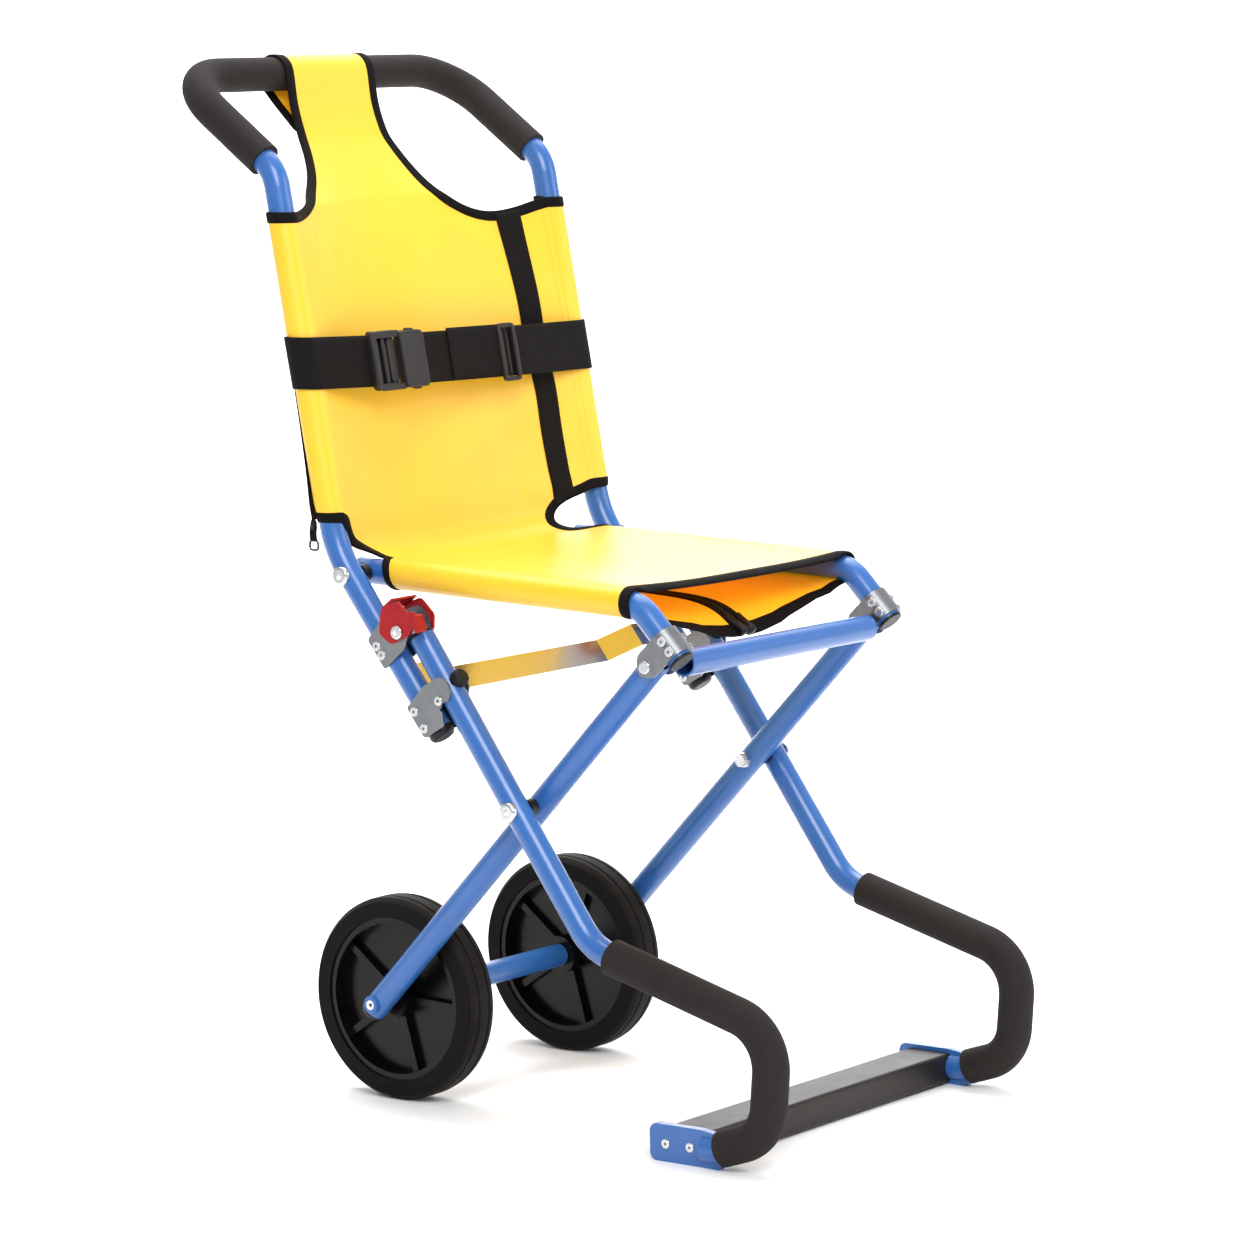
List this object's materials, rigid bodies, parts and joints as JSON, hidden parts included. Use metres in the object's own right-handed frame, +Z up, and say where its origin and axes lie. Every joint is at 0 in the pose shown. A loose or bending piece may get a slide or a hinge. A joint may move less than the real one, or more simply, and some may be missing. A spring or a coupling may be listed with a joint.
{
  "type": "folding stair chair",
  "caption": "Folding carry chair for stairs: tube frame with a sling seat and back, chest belt, padded handle bar, rear wheels and padded ground loops.",
  "frame": {"origin": "on the floor, at the middle of the footprint", "axes": "+Z up, +X towards the chair's left-hand occupant side, the chair faces -Y"},
  "size_m": [0.4642, 0.7252, 1.0116],
  "materials": {
    "frame_blue": "gloss powder coat on round tube",
    "grip_foam": "matt closed-cell foam",
    "cap_black": "moulded black plastic",
    "rubber_black": "matt rubber",
    "bracket_steel": "dark grey zinc-plated sheet steel",
    "rivet_zinc": "bright zinc plate",
    "strip_steel": "polished flat bar",
    "latch_red": "gloss red",
    "crossbar_dark": "satin dark brown",
    "wheel_plastic": "moulded gloss black",
    "tyre_rubber": "solid rubber tyre",
    "cover_yellow": "coated fabric, slightly glossy",
    "flap_orange": "inside of the coated fabric",
    "belt_webbing": "woven webbing",
    "buckle_plastic": "moulded buckle plastic"
  },
  "bodies": {
    "front_legs": {"front_leg_left": "frame_blue", "front_leg_right": "frame_blue", "leg_grip_left": "grip_foam", "leg_grip_right": "grip_foam", "leg_top_caps": "cap_black", "foot_crossbar": "crossbar_dark", "crossbar_rivets": "rivet_zinc", "leg_bumpers": "rubber_black", "cross_pivot_bolts": "rivet_zinc", "cross_pivot_nuts": "rivet_zinc", "cross_pivot_spacers": "cap_black"},
    "wheel_legs": {"wheel_leg_left": "frame_blue", "wheel_leg_right": "frame_blue", "wheel_leg_plugs": "cap_black", "axle_rod": "rivet_zinc", "axle_caps": "rivet_zinc", "axle_tube": "frame_blue"},
    "wheel_left": {"wheel_left": "wheel_plastic", "tyre_left": "tyre_rubber", "wheel_bush_left": "wheel_plastic"},
    "wheel_right": {"wheel_right": "wheel_plastic", "tyre_right": "tyre_rubber", "wheel_bush_right": "wheel_plastic"},
    "seat": {"seat_tube_left": "frame_blue", "seat_tube_right": "frame_blue", "seat_tube_caps": "cap_black", "seat_bracket_left": "bracket_steel", "seat_bracket_right": "bracket_steel", "seat_bracket_rivets": "rivet_zinc", "seat_leg_pins": "rivet_zinc", "seat_cross_tube": "frame_blue", "seat_cover": "cover_yellow", "seat_flaps": "flap_orange", "seat_sleeve_left": "cover_yellow", "seat_sleeve_right": "cover_yellow"},
    "back": {"back_frame": "frame_blue", "handle_grip": "grip_foam", "back_tube_caps": "cap_black", "upper_bracket_left": "bracket_steel", "upper_bracket_right": "bracket_steel", "lower_bracket_left": "bracket_steel", "lower_bracket_right": "bracket_steel", "bracket_rivets": "rivet_zinc", "latch_bolts": "rivet_zinc", "back_pivot_bolts": "rivet_zinc", "back_pivot_nuts": "rivet_zinc", "back_pivot_spacers": "cap_black", "cross_strip": "strip_steel", "back_cover": "cover_yellow", "back_sleeve_left": "cover_yellow", "back_sleeve_right": "cover_yellow", "belt_left": "belt_webbing", "belt_right": "belt_webbing", "belt_rear": "belt_webbing", "buckle_socket": "buckle_plastic", "buckle_plug": "buckle_plastic", "belt_adjuster": "buckle_plastic"},
    "latch_left": {"latch_lever_left": "latch_red"},
    "latch_right": {"latch_lever_right": "latch_red"}
  },
  "joints": [
    {"name": "leg_fold", "type": "hinge", "parent": "front_legs", "child": "wheel_legs", "pos_m": [0, -0.05899, 0.3107], "axis": [-1, 0, 0], "range_deg": [0, 54]},
    {"name": "seat_fold", "type": "hinge", "parent": "wheel_legs", "child": "seat", "pos_m": [0, -0.19529, 0.4519], "axis": [-1, 0, 0], "range_deg": [0, 33]},
    {"name": "back_fold", "type": "hinge", "parent": "seat", "child": "back", "pos_m": [0, 0.13851, 0.5205], "axis": [-1, 0, 0], "range_deg": [-77, 0]},
    {"name": "wheel_spin_left", "type": "hinge", "parent": "wheel_legs", "child": "wheel_left", "pos_m": [-0.133, 0.14351, 0.1], "axis": [1, 0, 0], "continuous": true},
    {"name": "wheel_spin_right", "type": "hinge", "parent": "wheel_legs", "child": "wheel_right", "pos_m": [0.133, 0.14351, 0.1], "axis": [1, 0, 0], "continuous": true},
    {"name": "latch_turn_left", "type": "hinge", "parent": "back", "child": "latch_left", "pos_m": [-0.205, 0.06633, 0.4719], "axis": [-1, 0, 0], "range_deg": [0, 22], "stiffness_Nm_per_rad": 0.15, "springref_deg": -20.05},
    {"name": "latch_turn_right", "type": "hinge", "parent": "back", "child": "latch_right", "pos_m": [0.205, 0.06633, 0.4719], "axis": [-1, 0, 0], "range_deg": [0, 22], "stiffness_Nm_per_rad": 0.15, "springref_deg": -20.05}
  ],
  "couplings": [
    {"joint": "seat_fold", "follows": "leg_fold", "ratio": 0.604},
    {"joint": "back_fold", "follows": "leg_fold", "ratio": -1.42}
  ]
}
